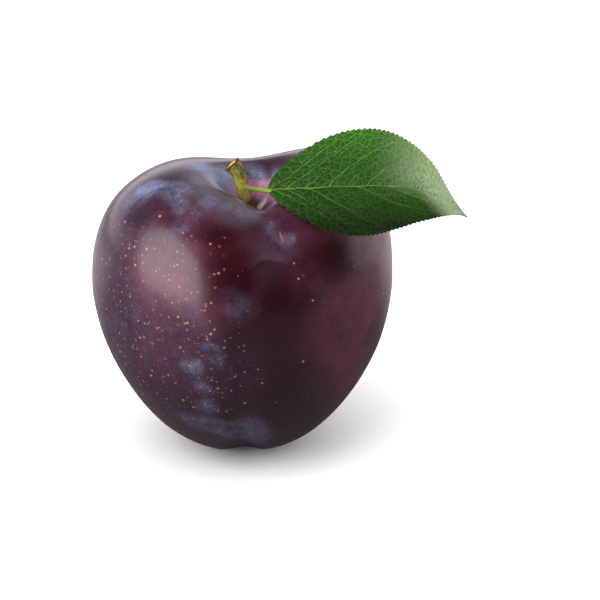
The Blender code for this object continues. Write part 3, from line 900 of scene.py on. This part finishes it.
def leaf_stalk_shape():
    """Leaf stalk and midrib in one tapering bar, from inside the stalk to near the tip, under the blade."""
    path = [(LEAF_STALK_ROOT, 0.6 * MM), (LEAF_STALK_START, 0.45 * MM)]
    for step in range(RIB_POINTS):
        along = RIB_END * (step / (RIB_POINTS - 1)) ** RIB_CROWDING
        radius = (0.46 - 0.33 * along**0.6) * MM
        drop = radius * 1.85 * smooth_step(along, -0.02, 0.03)
        path.append((midrib_point(along)[0] - Vector((0.0, 0.0, drop)), radius))
    shape = round_bar(LEAF_STALK_SIDES, LEAF_STALK_STEPS, LEAF_STALK_END_RINGS)

    def surface(share, angle, reach, place):
        return 1.0 + 0.05 * noise.noise(place / (1.2 * MM)), 0.0

    bend_bar(shape, path, surface)
    return shape


def leaf_stalk_material(settings):
    """Young leaf stalk: smooth, juicy lime green, paler in streaks."""
    material, tree, shader, place = new_material("young_leaf_stalk")
    stretched = add_node(tree, "ShaderNodeMapping", {"Vector": place, "Scale": (0.3, 1.0, 1.0)})
    streak = add_node(tree, NOISE, {"Vector": stretched, "Scale": 1 / 0.4, "Detail": 3.0})
    pale = add_node(tree, REMAP, {0: streak, LOW: 0.4, HIGH: 0.66, TO_HIGH: 0.7})
    colour = add_node(
        tree, MIX, {0: pale, A: (*settings.leaf_stalk, 1.0), B: (*settings.vein, 1.0)}, out=2, data_type="RGBA"
    )
    finish = {
        "Base Color": colour,
        "Roughness": 0.42,
        "Subsurface Weight": 0.25,
        "Subsurface Radius": (0.6, 1.0, 0.2),
        "Subsurface Scale": 0.5 * MM,
    }
    set_inputs(tree, shader, finish)
    return material


class PLUM_OT_leaf(Operator):
    """Build the leaf blade and the leaf stalk that carries it"""

    bl_idname = "plum.build_leaf"
    bl_label = "Build leaf"

    def execute(self, context):
        settings = context.scene.plum_leaf
        blade, underside, vein = tuple(settings.blade), tuple(settings.underside), tuple(settings.vein)
        upper = blade_material("plum_leaf_upper_side", settings, blade, vein, 0.8, 1.0, 0.42)
        lower = blade_material("plum_leaf_lower_side", settings, underside, vein, 0.55, 0.0, 0.65)
        blade = finish_piece("leaf_blade", blade_shape(settings), [upper, lower], "leaf")
        wall = blade.modifiers.new("thickness", "SOLIDIFY")
        wall.thickness = settings.thickness
        wall.offset = 0.0
        wall.material_offset = 1
        finish_piece("leaf_stalk", leaf_stalk_shape(), [leaf_stalk_material(settings)], "leaf")
        return {"FINISHED"}


# ------------------------------------------------------------------ stage


def studio_light(name, azimuth, elevation, distance, size, power, colour):
    """A round softbox that faces the fruit. Azimuth 0 is the camera's side, and 90 is under the leaf tip."""
    light = bpy.data.lights.new(name, "AREA")
    light.shape = "ELLIPSE"
    light.size, light.size_y = size
    light.energy = power
    light.color = colour
    lamp = bpy.data.objects.new(name, light)
    bpy.context.scene.collection.objects.link(lamp)
    out = Vector((sin(azimuth) * cos(elevation), -cos(azimuth) * cos(elevation), sin(elevation)))
    lamp.location = STUDIO_CENTRE + out * distance
    lamp.rotation_euler = out.to_track_quat("Z", "Y").to_euler()
    lamp.visible_camera = False
    lamp.visible_glossy = name not in NO_GLARE


def studio_world():
    """White walls at the back, brightest low down, and a darker room where the camera stands."""
    world = bpy.data.worlds.new("white_studio")
    world.use_nodes = True
    tree = world.node_tree
    way = add_node(tree, "ShaderNodeTexCoord", out="Generated")
    facing = add_node(tree, VECTOR_MATH, {0: way, 1: WHITE_WALL}, out="Value", operation="DOT_PRODUCT")
    wall = add_node(
        tree,
        REMAP,
        {0: facing, LOW: 0.35, HIGH: 0.9, TO_LOW: DARK_ROOM_LIGHT, TO_HIGH: WALL_LIGHT},
        interpolation_type="SMOOTHSTEP",
    )
    height = add_node(tree, SPLIT, {0: way}, out="Z")
    high = add_node(tree, REMAP, {0: height, LOW: 0.1, HIGH: 0.38, TO_LOW: 1.5, TO_HIGH: 0.15})
    wall = add_node(tree, MATH, {0: wall, 1: high}, operation="MULTIPLY")
    seen = add_node(tree, "ShaderNodeLightPath", out="Is Camera Ray")
    light = add_node(tree, MATH, {0: wall, 1: seen}, operation="MAXIMUM")
    tint = {0: seen, A: (*WALL_TINT, 1.0), B: (1.0, 1.0, 1.0, 1.0)}
    tint = add_node(tree, MIX, tint, out=2, data_type="RGBA")
    set_inputs(tree, tree.nodes["Background"], {"Strength": light, "Color": tint})
    return world


class PLUM_OT_stage(Operator):
    """Build the floor, the lights and the camera"""

    bl_idname = "plum.build_stage"
    bl_label = "Build stage"

    def execute(self, context):
        scene = context.scene
        settings = scene.plum_stage
        shape = bmesh.new()
        bmesh.ops.create_circle(shape, cap_ends=True, segments=64, radius=FLOOR_RADIUS)
        mesh = bpy.data.meshes.new("floor")
        shape.to_mesh(mesh)
        shape.free()
        floor = bpy.data.objects.new("floor", mesh)
        scene.collection.objects.link(floor)
        # Satin white acrylic, lit from below except close to the fruit, so that it is white with a soft shadow.
        material, tree, shader, place = new_material("backlit_white_acrylic")
        seen = add_node(tree, "ShaderNodeLightPath", out="Is Camera Ray")
        away = add_node(tree, VECTOR_MATH, {0: place}, out="Value", operation="LENGTH")
        white = (*settings.floor, 1.0)
        behind = add_node(tree, SPLIT, {0: place}, out="Y")
        behind = add_node(tree, REMAP, {0: behind, LOW: 30.0, HIGH: 90.0})
        bounce = (*settings.floor_bounce, 1.0)
        far = (*WALL_TINT, 1.0)
        bounce = add_node(tree, MIX, {0: behind, A: bounce, B: far}, out=2, data_type="RGBA")
        paper = add_node(tree, MIX, {0: seen, A: bounce, B: white}, out=2, data_type="RGBA")
        glow = add_node(tree, REMAP, {0: away, LOW: 7.0, HIGH: 42.0, TO_LOW: 0.0, TO_HIGH: settings.floor_glow})
        glow = add_node(tree, MATH, {0: seen, 1: glow}, operation="MULTIPLY")
        finish = {
            "Base Color": paper,
            "Emission Strength": glow,
            "Emission Color": (1.0, 1.0, 1.0, 1.0),
            "Roughness": 0.7,
            "Specular IOR Level": 0.1,
        }
        set_inputs(tree, shader, finish)
        mesh.materials.append(material)
        scene.world = studio_world()
        for name, azimuth, elevation, distance, size, power, colour in SOFTBOXES:
            studio_light(name, radians(azimuth), radians(elevation), distance, size, power, linear(colour))
        camera_data = bpy.data.cameras.new("camera")
        camera_data.lens = CAMERA_LENS
        camera_data.clip_start = 0.01
        camera = bpy.data.objects.new("camera", camera_data)
        scene.collection.objects.link(camera)
        back = Vector((0.0, -cos(settings.elevation), sin(settings.elevation)))
        camera.location = CAMERA_TARGET + back * settings.distance
        camera.rotation_euler = back.to_track_quat("Z", "Y").to_euler()
        scene.camera = camera
        scene.view_settings.view_transform = "Standard"
        return {"FINISHED"}


class PLUM_PT_panel(Panel):
    """The plum's sizes and colours, and the buttons that build it"""

    bl_idname = "PLUM_PT_panel"
    bl_label = "Dark plum"
    bl_space_type = "VIEW_3D"
    bl_region_type = "UI"
    bl_category = "Plum"

    def draw(self, context):
        for name, group, operator in GROUPS:
            box = self.layout.box()
            for setting in group.__annotations__:
                box.prop(getattr(context.scene, name), setting)
            box.operator(operator.bl_idname)


# Each group of settings: its name in the scene, its class and the operator that reads it.
GROUPS = (
    ("plum_fruit", FruitSettings, PLUM_OT_fruit),
    ("plum_stalk", StalkSettings, PLUM_OT_stalk),
    ("plum_leaf", LeafSettings, PLUM_OT_leaf),
    ("plum_stage", StageSettings, PLUM_OT_stage),
)
CLASSES = (*(each for group in GROUPS for each in group[1:]), PLUM_PT_panel)


def register():
    for each in CLASSES:
        bpy.utils.register_class(each)
    for name, group, _ in GROUPS:
        setattr(bpy.types.Scene, name, PointerProperty(type=group))


def unregister():
    for name, _, _ in GROUPS:
        delattr(bpy.types.Scene, name)
    for each in reversed(CLASSES):
        bpy.utils.unregister_class(each)


def main():
    register()
    bpy.ops.plum.build_fruit()
    bpy.ops.plum.build_stalk()
    bpy.ops.plum.build_leaf()
    bpy.ops.plum.build_stage()
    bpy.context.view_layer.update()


if __name__ == "__main__":
    main()
